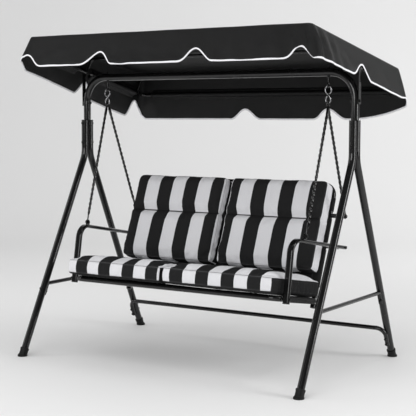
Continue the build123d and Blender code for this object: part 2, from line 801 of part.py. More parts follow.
def tilt_knob():
    """Right-hand wing knob on the tilt bolt, inside the loop."""
    face_x = LOOP_X - LOOP_D / 2 - 0.6
    place = Plane(origin=(face_x, 0, PIVOT_Z), z_dir=(-1, 0, 0))
    knob = Cylinder(8.5, KNOB_L, align=(Align.CENTER, Align.CENTER, Align.MIN))
    grip = Pos(0, 0, 5) * extrude(Circle(KNOB_R), KNOB_L - 6)
    for turn in range(6):
        grip -= Rot(0, 0, 60 * turn) * Pos(KNOB_R + 3.5, 0, 0) * Cylinder(7, 99)
    bore = Pos(0, 0, -1) * Cylinder(BOLT_D / 2 + FIT, KNOB_L - 2,
                                    align=(Align.CENTER, Align.CENTER, Align.MIN))
    return place * (knob + grip - bore)


# --------------------------------------------------------------- export

def save(name, part):
    if isinstance(part, list):
        part = part[0] if len(part) == 1 else group(part)
    export_step(part, f"parts/{name}.step")


def save_pair(name, part):
    """The right-hand piece and its mirror image, as two nodes."""
    save(f"right_{name}", part)
    save(f"left_{name}", mirror(part, about=Plane.YZ))


def save_ends(name, front, rear):
    """Four nodes: a piece at each corner of the stand."""
    for end, part in (("front", front), ("rear", rear)):
        save(f"{end}_right_{name}", part)
        save(f"{end}_left_{name}", mirror(part, about=Plane.YZ))


def save_group(name, parts):
    """One node with every listed right-hand piece and its mirror image."""
    save(name, [piece for part in parts for piece in both_sides(part)])


def main():
    os.makedirs("parts", exist_ok=True)

    save_ends("leg", leg(-1), leg(1))
    save_ends("foot", foot(-1), foot(1))
    save_group("leg_top_plugs", [leg_plug(-1), leg_plug(1)])
    save("top_bar", top_bar())
    save_group("leg_clamp_bolts", clamp_bolts())
    save_pair("side_brace", side_brace())
    save_group("brace_bolts", brace_bolts())
    save("rear_crossbar", rear_crossbar())
    save_group("crossbar_bolts", crossbar_bolts())
    save_pair("eye_bolt", eye_bolt())
    save_pair("canopy_bracket", canopy_bracket())
    save_group("bracket_bolts", [bracket_bolt()])
    save_group("tilt_bolts", [tilt_bolt()])
    save_group("stand_nuts", clamp_nuts() + brace_nuts() + crossbar_nuts() + eye_nuts()
               + [bracket_nut()])

    save("canopy_front_loop", front_loop())
    save("canopy_rear_loop", rear_loop())
    for name, (at, height) in zip(("front", "centre", "rear"), bow_places()):
        save(f"canopy_{name}_bow", bow(at, height))
    save("canopy_roof", canopy_roof())
    save("canopy_front_valance", end_valance(ROOF_FRONT, HEM_FRONT, 1))
    save("canopy_rear_valance", end_valance(ROOF_REAR, HEM_REAR, -1))
    save("canopy_right_valance", side_valance())
    save("canopy_left_valance", mirror(side_valance(), about=Plane.YZ))
    save_pair("tilt_knob", tilt_knob())

    save_pair("hook", s_hook())
    save_pair("front_hanger", front_hanger())
    save_pair("rear_hanger", rear_hanger())
    save("seat_frame", seat_frame())
    save("back_frame", back_frame())
    save_pair("armrest", armrest())
    save_group("armrest_plugs", arm_plugs())
    save_group("frame_plugs", frame_plugs())
    save("seat_sling", seat_sling())
    save("back_sling", back_sling())
    save_pair("seat_cushion", seat_cushion())
    save_pair("back_cushion", back_cushion())
    save_group("armrest_front_bolts", [arm_front_bolt()])
    save_group("armrest_rear_bolts", [arm_rear_bolt()])
    save_group("frame_joint_bolts", [frame_joint_bolt()])
    save_group("hanger_front_bolts", [hanger_front_bolt()])
    save_group("hanger_rear_bolts", [hanger_rear_bolt()])
    save_group("seat_nuts", [frame_joint_nut(), hanger_front_nut()])


main()
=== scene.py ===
import json
import math

import bpy
import numpy as np
from mathutils import Matrix, Vector, noise


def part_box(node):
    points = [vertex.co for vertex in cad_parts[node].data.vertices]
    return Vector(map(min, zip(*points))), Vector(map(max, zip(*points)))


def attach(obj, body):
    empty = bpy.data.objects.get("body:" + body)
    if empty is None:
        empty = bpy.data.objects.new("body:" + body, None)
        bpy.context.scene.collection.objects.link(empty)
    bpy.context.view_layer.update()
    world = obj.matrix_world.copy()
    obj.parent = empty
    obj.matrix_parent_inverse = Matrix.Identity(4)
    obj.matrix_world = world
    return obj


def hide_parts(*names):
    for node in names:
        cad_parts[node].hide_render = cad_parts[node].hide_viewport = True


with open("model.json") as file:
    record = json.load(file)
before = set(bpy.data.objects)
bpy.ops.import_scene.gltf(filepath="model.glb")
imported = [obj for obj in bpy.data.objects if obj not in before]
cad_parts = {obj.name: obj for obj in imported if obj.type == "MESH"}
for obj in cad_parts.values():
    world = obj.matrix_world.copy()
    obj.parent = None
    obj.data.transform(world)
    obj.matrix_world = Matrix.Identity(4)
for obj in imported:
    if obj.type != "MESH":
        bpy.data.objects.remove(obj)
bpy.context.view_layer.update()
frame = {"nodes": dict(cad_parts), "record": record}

# Everything is in metres, +Z up, +X along the bench, -Y to the front.


# ------------------------------------------------------------------ materials

class Shader:
    """One Principled material, with short ways to add nodes to it."""

    def __init__(self, name):
        self.material = bpy.data.materials.new(name)
        self.material.use_nodes = True
        self.nodes = self.material.node_tree.nodes
        self.links = self.material.node_tree.links
        self.surface = self.nodes["Principled BSDF"]

    def feed(self, socket, value):
        if isinstance(value, bpy.types.NodeSocket):
            self.links.new(value, socket)
        else:
            socket.default_value = value

    def set(self, **values):
        for name, value in values.items():
            self.feed(self.surface.inputs[name.replace("_", " ")], value)

    def math(self, operation, a, b=0.0, c=0.0):
        node = self.nodes.new("ShaderNodeMath")
        node.operation = operation
        for socket, value in zip(node.inputs, (a, b, c)):
            self.feed(socket, value)
        return node.outputs[0]

    def place(self):
        """Position in the piece's own rest frame, which moves with the piece."""
        return self.nodes.new("ShaderNodeTexCoord").outputs["Object"]

    def attribute(self, name):
        node = self.nodes.new("ShaderNodeAttribute")
        node.attribute_name = name
        return node.outputs["Vector"]

    def split(self, vector):
        node = self.nodes.new("ShaderNodeSeparateXYZ")
        self.feed(node.inputs[0], vector)
        return node.outputs

    def noise(self, vector, scale, detail=2.0):
        node = self.nodes.new("ShaderNodeTexNoise")
        self.feed(node.inputs["Vector"], vector)
        node.inputs["Scale"].default_value = scale
        node.inputs["Detail"].default_value = detail
        return node.outputs["Fac"]

    def span(self, value, low, high, from_low=0.25, from_high=0.75):
        node = self.nodes.new("ShaderNodeMapRange")
        for socket, number in zip(node.inputs, (value, from_low, from_high, low, high)):
            self.feed(socket, number)
        return node.outputs[0]

    def blend(self, factor, a, b):
        node = self.nodes.new("ShaderNodeMix")
        node.data_type = "RGBA"
        self.feed(node.inputs[0], factor)
        self.feed(node.inputs[6], a)
        self.feed(node.inputs[7], b)
        return node.outputs[2]

    def bump(self, height, distance):
        node = self.nodes.new("ShaderNodeBump")
        node.inputs["Strength"].default_value = 1.0
        node.inputs["Distance"].default_value = distance
        self.feed(node.inputs["Height"], height)
        self.feed(self.surface.inputs["Normal"], node.outputs[0])

    def wave(self, value, pitch):
        """A sine of the given pitch, between 0 and 1."""
        turn = self.math("MULTIPLY", value, 2 * math.pi / pitch)
        return self.math("MULTIPLY_ADD", self.math("SINE", turn), 0.5, 0.5)

    def weave(self, u, v, pitch):
        """Height of a plain weave: warp and weft cross in a checker of small humps."""
        over = self.math("MULTIPLY", self.wave(u, pitch), self.wave(v, pitch))
        half_u = self.math("ADD", u, pitch / 2)
        half_v = self.math("ADD", v, pitch / 2)
        under = self.math("MULTIPLY", self.wave(half_u, pitch), self.wave(half_v, pitch))
        return self.math("MAXIMUM", over, under)


def grey(level):
    """A very slightly cool grey, as linear RGBA."""
    return (level, level, level * 1.03, 1.0)


def powder_coat():
    s = Shader("powder_coat")
    place = s.place()
    peel = s.noise(place, 700)
    cloud = s.noise(place, 9, 4)
    s.set(Base_Color=s.blend(s.span(cloud, 0, 1), grey(0.003), grey(0.006)),
          Roughness=s.span(cloud, 0.20, 0.30), Specular_IOR_Level=0.12,
          Coat_Weight=0.80, Coat_Roughness=0.09)
    s.bump(s.math("MULTIPLY_ADD", peel, 0.6, s.math("MULTIPLY", s.noise(place, 160), 0.4)), 0.0003)
    return s.material


def blackened_steel():
    s = Shader("blackened_steel")
    place = s.place()
    scuff = s.noise(place, 400, 4)
    worn = s.span(s.noise(place, 120, 3), 0, 1, 0.5, 0.72)
    s.set(Base_Color=s.blend(worn, grey(0.01), grey(0.04)), Metallic=0.75,
          Roughness=s.span(scuff, 0.28, 0.5))
    s.bump(scuff, 0.0002)
    return s.material


def chrome_plate():
    s = Shader("chrome_plate")
    place = s.place()
    haze = s.noise(place, 220, 4)
    s.set(Base_Color=s.blend(s.span(haze, 0, 1), grey(0.26), grey(0.42)), Metallic=1.0,
          Roughness=s.span(haze, 0.06, 0.2))
    s.bump(haze, 0.00008)
    return s.material


def moulded_plastic():
    s = Shader("moulded_plastic")
    place = s.place()
    grain = s.noise(place, 1100, 3)
    dust = s.span(s.noise(place, 35, 4), 0, 1, 0.45, 0.8)
    s.set(Base_Color=s.blend(dust, grey(0.004), grey(0.009)),
          Roughness=s.span(grain, 0.42, 0.6), Specular_IOR_Level=0.25)
    s.bump(grain, 0.0004)
    return s.material


def stitched(s, colour, height, thread, gap, pitch, thread_colour):
    """Adds a line of stitches a given gap from each seam."""
    run, distance, _ = s.split(thread)
    off_line = s.math("ABSOLUTE", s.math("SUBTRACT", distance, gap))
    on_line = s.math("LESS_THAN", off_line, 0.0007)
    dash = s.math("GREATER_THAN", s.wave(run, pitch), 0.28)
    mark = s.math("MULTIPLY", on_line, dash)
    return s.blend(mark, colour, thread_colour), s.math("ADD", height, mark)


def cloth(name, dark, light, pitch, rough, thread_colour=None, depth=0.0004, shine=0.25):
    """A plain woven cloth whose u, v in metres are in the attribute weft."""
    s = Shader(name)
    u, v, _ = s.split(s.attribute("weft"))
    place = s.place()
    height = s.weave(u, v, pitch)
    cloud = s.noise(place, 5, 4)
    fleck = s.noise(place, 520, 2)
    # Painted sheen: the weave's raised humps are made lighter; the cloud and flecks add random
    # tone.
    tone_and_sheen = s.math("MULTIPLY_ADD", height, 0.35, s.math("MULTIPLY", s.span(cloud, 0, 1), 0.4))
    tone_and_sheen = s.math("MULTIPLY_ADD", fleck, 0.25, tone_and_sheen)
    colour = s.blend(tone_and_sheen, dark, light)
    if thread_colour:
        colour, height = stitched(s, colour, height, s.attribute("thread"), 0.009, 0.005,
                                  thread_colour)
    s.set(Base_Color=colour, Roughness=rough, Specular_IOR_Level=shine)
    s.bump(height, depth)
    return s.material


BLACK_YARN = (grey(0.011), grey(0.019))
WHITE_YARN = (grey(0.58), grey(0.75))
YARN_PITCH = 0.0016
CUSHION_ROUGH = 0.9
CUSHION_SHINE = 0.12
BACK_CREASE = 0.392     # height of the back cushion's crease up the back frame


def striped_cloth(name, first_edge, width, crease=None, rim=0.0):
    """Cushion cloth: black and off-white stripes across x, counted from the inner edge.
    Up to rim the cloth is white, and a line of painted shade darkens it along a crease."""
    s = Shader(name)
    x, y, _ = s.split(s.attribute("rest"))
    u, v, _ = s.split(s.attribute("weft"))
    place = s.place()
    fleck = s.noise(place, 600, 2)
    frayed = s.math("MULTIPLY_ADD", fleck, 0.0008, s.math("SUBTRACT", x, first_edge + 0.0004))
    count = s.math("FLOOR", s.math("DIVIDE", frayed, width))
    odd = s.math("MODULO", s.math("ADD", count, 4.0), 2.0)
    white = s.math("COMPARE", odd, 1.0, 0.1)
    white = s.math("MAXIMUM", white, s.math("LESS_THAN", x, rim))
    height = s.weave(u, v, YARN_PITCH)
    # Painted sheen: the weave's raised humps are made lighter; the flecks add random tone.
    tone_and_sheen = s.math("MULTIPLY_ADD", height, 0.4, s.math("MULTIPLY", fleck, 0.6))
    colour = s.blend(white, s.blend(tone_and_sheen, *BLACK_YARN), s.blend(tone_and_sheen, *WHITE_YARN))
    strand = s.blend(white, grey(0.035), grey(0.42))
    colour, height = stitched(s, colour, height, s.attribute("thread"), 0.005, 0.004, strand)
    _, to_seam, _ = s.split(s.attribute("thread"))
    seam = s.span(to_seam, 0.85, 0.0, 0.0008, 0.0020)
    colour = s.blend(seam, colour, grey(0.07))
    if crease:
        # Painted shade: the cloth darkens along the back cushion's crease.
        from_crease = s.math("ABSOLUTE", s.math("SUBTRACT", y, crease))
        colour = s.blend(s.span(from_crease, 0.95, 0.0, 0.0012, 0.0034), colour, grey(0.009))
    s.set(Base_Color=colour, Roughness=CUSHION_ROUGH, Specular_IOR_Level=CUSHION_SHINE)
    s.bump(height, 0.0002)
    return s.material


STEEL_PAINT = powder_coat()
FASTENER = blackened_steel()
CHROME = chrome_plate()
PLASTIC = moulded_plastic()
CANOPY_CLOTH = cloth("canopy_cloth", grey(0.004), grey(0.009), pitch=0.0022, rough=0.40,
                     thread_colour=grey(0.016), depth=0.0003, shine=0.20)
BINDING = cloth("white_binding", grey(0.80), grey(0.92), pitch=0.0014, rough=0.8)
SLING_MESH = cloth("sling_mesh", grey(0.002), grey(0.012), pitch=0.0030, rough=0.6,
                   thread_colour=grey(0.05), depth=0.0008)
SEAT_STRIPES = striped_cloth("seat_stripes", first_edge=0.039, width=0.0713)
BACK_STRIPES = striped_cloth("back_stripes", first_edge=0.003, width=0.0804,
                             crease=BACK_CREASE, rim=0.0185)
BLACK_PANEL = cloth("black_panel", *BLACK_YARN, YARN_PITCH, CUSHION_ROUGH,
                    thread_colour=grey(0.035), depth=0.0002, shine=CUSHION_SHINE)
PALE_PANEL = cloth("pale_panel", *WHITE_YARN, YARN_PITCH, CUSHION_ROUGH,
                   thread_colour=grey(0.45), depth=0.0003)

FINISH = {"frame_paint": STEEL_PAINT, "fastener_steel": FASTENER, "chrome": CHROME,
          "black_plastic": PLASTIC}


def finish_cad_nodes():
    for part in frame["record"]["subparts"]:
        material = FINISH.get(part["material_slot"])
        node = frame["nodes"][part["node"]]
        if material:
            for spot in node.material_slots:
                spot.material = material


# ---------------------------------------------------------------- mesh making

def make_piece(name, points, faces, materials, body, indices=None):
    """A mesh object that rides on a body. Materials may be one or a list."""
    mesh = bpy.data.meshes.new(name)
    mesh.from_pydata([tuple(p) for p in points], [], [tuple(f) for f in faces])
    for material in materials if isinstance(materials, list) else [materials]:
        mesh.materials.append(material)
    if indices is not None:
        mesh.polygons.foreach_set("material_index", np.asarray(indices, np.int32))
    mesh.polygons.foreach_set("use_smooth", [True] * len(mesh.polygons))
    piece = bpy.data.objects.new(name, mesh)
    bpy.context.scene.collection.objects.link(piece)
    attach(piece, body)
    return piece


def write_vectors(mesh, name, values):
    layer = mesh.attributes.new(name, "FLOAT_VECTOR", "POINT")
    layer.data.foreach_set("vector", np.asarray(values, np.float32).ravel())


def bake(piece):
    """Applies every modifier of a piece."""
    graph = bpy.context.evaluated_depsgraph_get()
    graph.update()
    mesh = bpy.data.meshes.new_from_object(piece.evaluated_get(graph))
    piece.modifiers.clear()
    piece.data = mesh


def thicken(piece, thickness, offset=-1.0):
    solid = piece.modifiers.new("thickness", "SOLIDIFY")
    solid.thickness = thickness
    solid.offset = offset
    bake(piece)


def unit(v):
    v = np.asarray(v, float)
    return v / np.linalg.norm(v)


def ribbon_faces(rows, columns, close_rows=False, close_columns=False, flip=False):
    """Quads of a grid of points stored row by row."""
    faces = []
    for i in range(rows if close_rows else rows - 1):
        for j in range(columns if close_columns else columns - 1):
            a = i * columns + j
            b = i * columns + (j + 1) % columns
            c = (i + 1) % rows * columns + (j + 1) % columns
            d = (i + 1) % rows * columns + j
            faces.append((a, b, c, d) if flip else (a, d, c, b))
    return faces


def loft(path, first_axes, second_axes, section, turns=None, sizes=None, closed_path=False):
    """Carries a closed section along a path; the axes give its x and y at each point.
    Turns twist it and sizes scale its x and y."""
    section = np.asarray(section, float)
    points = []
    for i, place in enumerate(path):
        angle = 0.0 if turns is None else turns[i]
        wide, high = (1.0, 1.0) if sizes is None else sizes[i]
        c, s = math.cos(angle), math.sin(angle)
        x = (section[:, 0] * c - section[:, 1] * s) * wide
        y = (section[:, 0] * s + section[:, 1] * c) * high
        points.extend(place + np.outer(x, first_axes[i]) + np.outer(y, second_axes[i]))
    rows, columns = len(path), len(section)
    faces = ribbon_faces(rows, columns, closed_path, True)
    if not closed_path:
        faces.append(tuple(range(columns)))
        faces.append(tuple(range((rows - 1) * columns, rows * columns))[::-1])
    return points, faces


def join_parts(parts):
    """One list of points and faces from several."""
    points, faces = [], []
    for some_points, some_faces in parts:
        shift = len(points)
        points.extend(some_points)
        faces.extend(tuple(i + shift for i in face) for face in some_faces)
    return points, faces


def circle(radius, count):
    angles = np.arange(count) * 2 * math.pi / count
    return np.stack([radius * np.cos(angles), radius * np.sin(angles)], 1)


# -------------------------------------------------------------------- hangers

def twisted_hanger(node, side):
    """A square bar twisted along its length, with a welded ring and a flat eye."""
    low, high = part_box(node)
    wire, ring_r, eye_r, eye_t = 0.00275, 0.0095, 0.0125, 0.006
    bar_r, flat_length, step_out = 0.007, 0.034, 0.004
    hook_low, hook_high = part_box("right_hook" if side > 0 else "left_hook")
    is_rear = "rear" in node
    ring_x = (hook_low.x + hook_high.x) / 2 + side * step_out * (-1 if is_rear else 1)
    foot_y = (high.y - eye_r) if is_rear else (low.y + eye_r)
    top_z, foot_z = high.z - ring_r - wire, low.z + eye_r
    inner = low.x if side > 0 else high.x
    lean = flat_length / (top_z - foot_z)
    foot_x = (inner + side * bar_r - lean * ring_x) / (1 - lean)
    top = np.array([ring_x, 0.0, top_z])
    foot = np.array([foot_x, foot_y, foot_z])
    down = unit(foot - top)
    across = unit(np.cross(down, [0, 1, 0]))
    ahead = np.cross(across, down)

    start = top + down * ring_r
    length = np.linalg.norm(foot - top) - ring_r - eye_r + 0.002
    plain, pitch, step = 0.045, 0.105, 0.0025
    places = np.arange(0, length, step)
    turns = 2 * math.pi * np.clip(places - plain, 0, length - 2 * plain) / pitch
    half, round_off = 0.0052, 1.10
    square = [(half, half), (0, half * round_off), (-half, half), (-half * round_off, 0),
              (-half, -half), (0, -half * round_off), (half, -half), (half * round_off, 0)]
    path = [start + down * place for place in places]
    neck = np.clip((places - 0.009) / 0.008, 0, 1)
    flat = np.clip((length - places - 0.026) / 0.014, 0, 1)
    widths = 0.55 + 0.45 * neck
    thin = 0.55 + 0.45 * flat
    bar = loft(path, [across] * len(path), [ahead] * len(path), square, turns,
               np.stack([widths * thin, widths], 1))

    spin = np.linspace(0, 2 * math.pi, 40, endpoint=False)
    ring_path = [top + ring_r * np.array([0, math.cos(a), math.sin(a)]) for a in spin]
    outward = [np.array([0, math.cos(a), math.sin(a)]) for a in spin]
    x_axis = [np.array([1.0, 0, 0])] * len(spin)
    ring = loft(ring_path, x_axis, outward, circle(wire, 12), closed_path=True)

    hole_r, t = 0.0043, eye_t / 2
    edge = 0.0008
    washer = [(-t, hole_r), (-t, eye_r - edge), (-t + edge, eye_r), (t - edge, eye_r),
              (t, eye_r - edge), (t, hole_r)]
    centre = [foot] * len(spin)
    eye = loft(centre, x_axis, outward, washer, closed_path=True)

    points, faces = join_parts([bar, ring, eye])
    piece = make_piece(f"{node}_twisted", points, faces, STEEL_PAINT, "seat")
    crisp = piece.modifiers.new("crisp", "EDGE_SPLIT")
    crisp.split_angle = math.radians(38)
    bake(piece)
    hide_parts(node)


# --------------------------------------------------------------------- canopy

ROOF = {"x": 0.800, "front": (-0.462, 1.638), "rear": (0.526, 1.479), "corner": 0.022}
HEM = {"x": 0.867, "front": (-0.497, 1.480), "rear": (0.568, 1.216), "corner": 0.030}
BOWS = (-0.410, 0.032, 0.498)
ARCH = 0.062            # height of the arches cut into the front, right and rear hems
DEEP_ARCH = 0.082       # and of the one cut into the left hem
HITCH = 0.100           # the cover sits askew, so its right hem rides this much higher at the rear
LEFT_DROP = 0.014       # and its left hem hangs this much lower there
# Arches as (centre, reach to the left, reach to the right, share of ARCH).
FRONT_ARCHES = ((-0.818, 0.09, 0.12, 1.0), (-0.339, 0.115, 0.09, 1.0),
                (0.227, 0.105, 0.095, 1.0), (0.787, 0.110, 0.054, 0.88))
REAR_ARCHES = ((-0.127, 0.10, 0.10, 0.9), (0.391, 0.10, 0.10, 0.9))
CORNER_FOLD_REACH = 0.17
CORNER_FOLD_PUSH = 0.017
INWARD_LIMIT = (0.001, 0.004)   # how far inwards the skirt may go, at its top and added by its hem
SKIRT_ROWS = 26
ROOF_RINGS = 34


def plane_z(sheet, y):
    (y0, z0), (y1, z1) = sheet["front"], sheet["rear"]
    return z0 + (z1 - z0) * (y - y0) / (y1 - y0)


def rim_point(sheet, side, share, normal):
    """A point of a rounded rectangle: share runs along a side, normal turns at a corner."""
    r = sheet["corner"]
    y0, y1 = sheet["front"][0] + r, sheet["rear"][0] - r
    x = sheet["x"] - r
    corners = [(-x, y0), (x, y0), (x, y1), (-x, y1)]
    a, b = corners[side], corners[(side + 1) % 4]
    px = a[0] + (b[0] - a[0]) * share + r * normal[0]
    py = a[1] + (b[1] - a[1]) * share + r * normal[1]
    return np.array([px, py, plane_z(sheet, py)])


def rim_samples():
    """Around the canopy from the front left: (side, share, outward normal, bend) per sample.
    Bend runs from 0 to 1 round the corner that ends a side."""
    samples = []
    counts = (224, 136, 224, 136)
    for side in range(4):
        base = -math.pi / 2 + side * math.pi / 2
        for i in range(counts[side]):
            samples.append((side, i / counts[side], (math.cos(base), math.sin(base)), 0.0))
        for i in range(8):
            angle = base + (i / 8) * math.pi / 2
            samples.append((side, 1.0, (math.cos(angle), math.sin(angle)), i / 8))
    return samples


def bell(d, left, right):
    """A smooth arch of height 1 at d = 0, down to 0 at -left and at +right."""
    reach = left if d < 0 else right
    t = min(abs(d) / reach, 1.0)
    return (0.5 + 0.5 * math.cos(math.pi * t)) ** 1.15


def arch_share(arches, x):
    return max(share * bell(x - centre, left, right) for centre, left, right, share in arches)


def side_raise(side, x, y):
    """How far the hem is cut up along side 0 front, 1 right, 2 rear, 3 left."""
    if side == 0:
        return ARCH * arch_share(FRONT_ARCHES, x)
    if side == 2:
        from_left, from_right = HEM["x"] + x, HEM["x"] - x
        arches = 0.033 * bell(from_left, 0.06, 0.06)
        arches += ARCH * arch_share(REAR_ARCHES, x)
        return arches + 0.078 * max(0.0, 1 - from_right / 0.38) ** 2
    back = (y - HEM["front"][0]) / (HEM["rear"][0] - HEM["front"][0])
    if side == 1:
        curl = 0.012 * bell(y - HEM["rear"][0], 0.12, 0.12)
        return HITCH * back + curl + 1.18 * ARCH * bell(y - 0.014, 0.175, 0.050)
    notch = DEEP_ARCH * bell(y - 0.044, 0.08, 0.08)
    corners = 0.110 * bell(y - 0.505, 0.085, 0.105) + 0.045 * bell(y - HEM["front"][0], 0.09, 0.09)
    return notch + corners - LEFT_DROP * min(1.0, max(0.0, back * 2.0 - 0.4))


def hem_raise(side, point, bend):
    """The hem's cut, eased from one side's into the next one's round a corner."""
    here = side_raise(side, point[0], point[1])
    if bend == 0:
        return here
    r = HEM["corner"]
    x, y0, y1 = HEM["x"], HEM["front"][0], HEM["rear"][0]
    ends = [((x - r, y0), (x, y0 + r)), ((x, y1 - r), (x - r, y1)),
            ((r - x, y1), (-x, y1 - r)), ((-x, y0 + r), (r - x, y0))]
    before, after = ends[side]
    ease = bend * bend * (3 - 2 * bend)
    first = side_raise(side, *before)
    return first + (side_raise((side + 1) % 4, *after) - first) * ease


def ripple(place, scale, seed):
    """Smooth noise between about -1 and 1."""
    return noise.noise(Vector(place) * scale + Vector((seed, 3.7 * seed, 1.3)))


def roof_sag(x, y):
    """The roof cloth hangs a little between the bows and at the outer edges."""
    sag = 0.0
    for a, b in zip(BOWS, BOWS[1:]):
        if a < y < b:
            across = math.sin(math.pi * (y - a) / (b - a)) ** 2
            along = 1 - (abs(x) / ROOF["x"]) ** 4
            sag = 0.010 * across * (0.25 + 0.75 * along)
    if y < BOWS[0]:
        sag = 0.004 * (BOWS[0] - y) / (BOWS[0] - ROOF["front"][0])
    return sag + 0.0012 * ripple((x, y, 0), 6.0, 2.0)


def skirt_wave(run, place, side, t):
    """Outward push of the hanging cloth: slack folds that deepen towards the hem."""
    broad = 0.0070 * ripple((run, 0, t * 0.25), 3.3, 5.0)
    fine = 0.0042 * ripple((run, 0, t * 0.30), 12.0, 9.0)
    push = (broad + fine) * t ** 1.2
    x, y = place[0], place[1]
    if side == 1 or (side == 0 and x > 0.6):
        from_corner = (y - HEM["front"][0]) if side == 1 else (HEM["x"] - x)
        fold = math.exp(-(from_corner / CORNER_FOLD_REACH) ** 2)
        wave = 0.5 + 0.5 * math.sin(from_corner * 62 + 0.9)
        push += CORNER_FOLD_PUSH * fold * wave * min(1, t * 2.2) * (1 - 0.75 * t ** 3)
    for centre in (-0.339, 0.227):
        if side in (0, 2):
            near = math.exp(-((x - centre - 0.13) / 0.09) ** 2)
            slant = (x - centre) * 55 + t * 3.2
            push += 0.0030 * near * math.sin(slant) * t ** 2
    return max(push, -INWARD_LIMIT[0] - INWARD_LIMIT[1] * t ** 2)


def canopy_sheet():
    """The whole canopy cover: roof, rounded edge and skirts in one sheet, hem cut in arches."""
    samples = rim_samples()
    count = len(samples)
    rim = [rim_point(ROOF, *sample[:3]) for sample in samples]
    hem = [rim_point(HEM, *sample[:3]) for sample in samples]
    runs = [0.0]
    for a, b in zip(hem, hem[1:]):
        runs.append(runs[-1] + float(np.linalg.norm(b - a)))
    centre = np.array([0.0, (ROOF["front"][0] + ROOF["rear"][0]) / 2, 0.0])
    points, weft, thread = [], [], []
    hem_line, hem_down, hem_out = [], [], []
    for ring in range(ROOF_RINGS):
        shrink = 0.012 + (1 - 0.012) * (ring / ROOF_RINGS) ** 0.8
        for edge in rim:
            x = edge[0] * shrink
            y = centre[1] + (edge[1] - centre[1]) * shrink
            inset = min(ROOF["x"] - abs(x), y - ROOF["front"][0], ROOF["rear"][0] - y)
            drop = 0.006 * max(0.0, 1 - inset / 0.02) ** 2
            points.append((x, y, plane_z(ROOF, y) - roof_sag(x, y) - drop))
            weft.append((x, y, 0))
            thread.append((x + y, inset, 0))
    for row in range(SKIRT_ROWS + 1):
        for k, (side, _, normal, bend) in enumerate(samples):
            whole = float(np.linalg.norm(hem[k] - rim[k]))
            down = (hem[k] - rim[k]) / whole
            reach = whole - hem_raise(side, hem[k], bend)
            part = row / SKIRT_ROWS
            depth = 0.005 + (reach - 0.005) * part
            out = unit([normal[0], normal[1], 0.2])
            t = depth / whole
            lifted = skirt_wave(runs[k], hem[k], side, t)
            lifted -= 0.003 * math.exp(-depth / 0.006)
            place = rim[k] + down * depth + out * lifted
            place[2] -= 0.004 * math.exp(-depth / 0.01)
            points.append(tuple(place))
            weft.append((runs[k], depth, 0))
            thread.append((runs[k], min(depth, reach - depth), 0))
            if row == SKIRT_ROWS:
                hem_line.append(place)
                hem_down.append(down)
                hem_out.append(out)
    rows = ROOF_RINGS + SKIRT_ROWS + 1
    faces = ribbon_faces(rows, count, close_columns=True, flip=True)
    faces.append(tuple(range(count))[::-1])
    piece = make_piece("canopy_cover", points, faces, CANOPY_CLOTH, "canopy")
    write_vectors(piece.data, "weft", weft)
    write_vectors(piece.data, "thread", thread)
    thicken(piece, 0.0014)
    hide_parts("canopy_roof", "canopy_front_valance", "canopy_rear_valance",
                "canopy_left_valance", "canopy_right_valance")
    return np.array(hem_line), np.array(hem_down), np.array(hem_out), runs


def hem_binding(line, downs, outs, runs):
    """White tape folded over the hem, with a rounded edge."""
    count = len(line)
    ahead = np.roll(line, -1, axis=0) - np.roll(line, 1, axis=0)
    ahead /= np.linalg.norm(ahead, axis=1)[:, None]
    side_axis = outs - (outs * ahead).sum(1)[:, None] * ahead
    side_axis /= np.linalg.norm(side_axis, axis=1)[:, None]
    drop_axis = np.cross(ahead, side_axis)
    drop_axis *= np.sign((drop_axis * downs).sum(1))[:, None]
    around = 14
    section = circle(0.0024, around) * np.array([1.0, 2.0])
    middle = line - side_axis * 0.0007 - drop_axis * 0.0022
    points, faces = loft(middle, side_axis, drop_axis, section, closed_path=True)
    piece = make_piece("canopy_hem_binding", points, faces, BINDING, "canopy")
    weft = [(runs[i // around], (i % around) * 0.0012, 0) for i in range(count * around)]
    write_vectors(piece.data, "weft", weft)
    write_vectors(piece.data, "thread", [(w[0], 1.0, 0) for w in weft])


def sleeve(name, start, stop, outward, reach, skirt_lean):
    """A pocket of cloth that ties a stretch of the loop tube to the skirt behind it."""
    start, stop = np.array(start, float), np.array(stop, float)
    along = unit(stop - start)
    out = np.array(outward, float)
    out = unit(out - along * (out @ along))
    up = np.cross(along, out)
    if up[2] < 0:
        up = -up
    wrap, seam = 0.0112, 0.030
    angles = np.linspace(math.radians(62), math.radians(298), 15)
    section = [(reach - skirt_lean * seam, seam), (reach - skirt_lean * seam * 0.6, seam * 0.62)]
    section += [(wrap * math.cos(a), wrap * math.sin(a)) for a in angles]
    section += [(reach + skirt_lean * seam * 0.6, -seam * 0.62), (reach + skirt_lean * seam, -seam)]
    length = float(np.linalg.norm(stop - start))
    steps = max(4, int(length / 0.012))
    points, weft, thread = [], [], []
    for i in range(steps + 1):
        run = length * i / steps
        place = start + along * run
        for j, (a, b) in enumerate(section):
            pucker = 0.0009 * ripple((run, j * 0.02, 0), 24.0, 4.0)
            held = 0.0 if j in (0, len(section) - 1) else 1.0
            points.append(place + out * (a - pucker * held) + up * b)
            weft.append((run, j * 0.004, 0))
            gap = min(j, len(section) - 1 - j) * 0.012
            thread.append((run, gap, 0))
    faces = ribbon_faces(steps + 1, len(section))
    piece = make_piece(name, points, faces, CANOPY_CLOTH, "canopy")
    write_vectors(piece.data, "weft", weft)
    write_vectors(piece.data, "thread", thread)
    thicken(piece, 0.0010, offset=0.0)


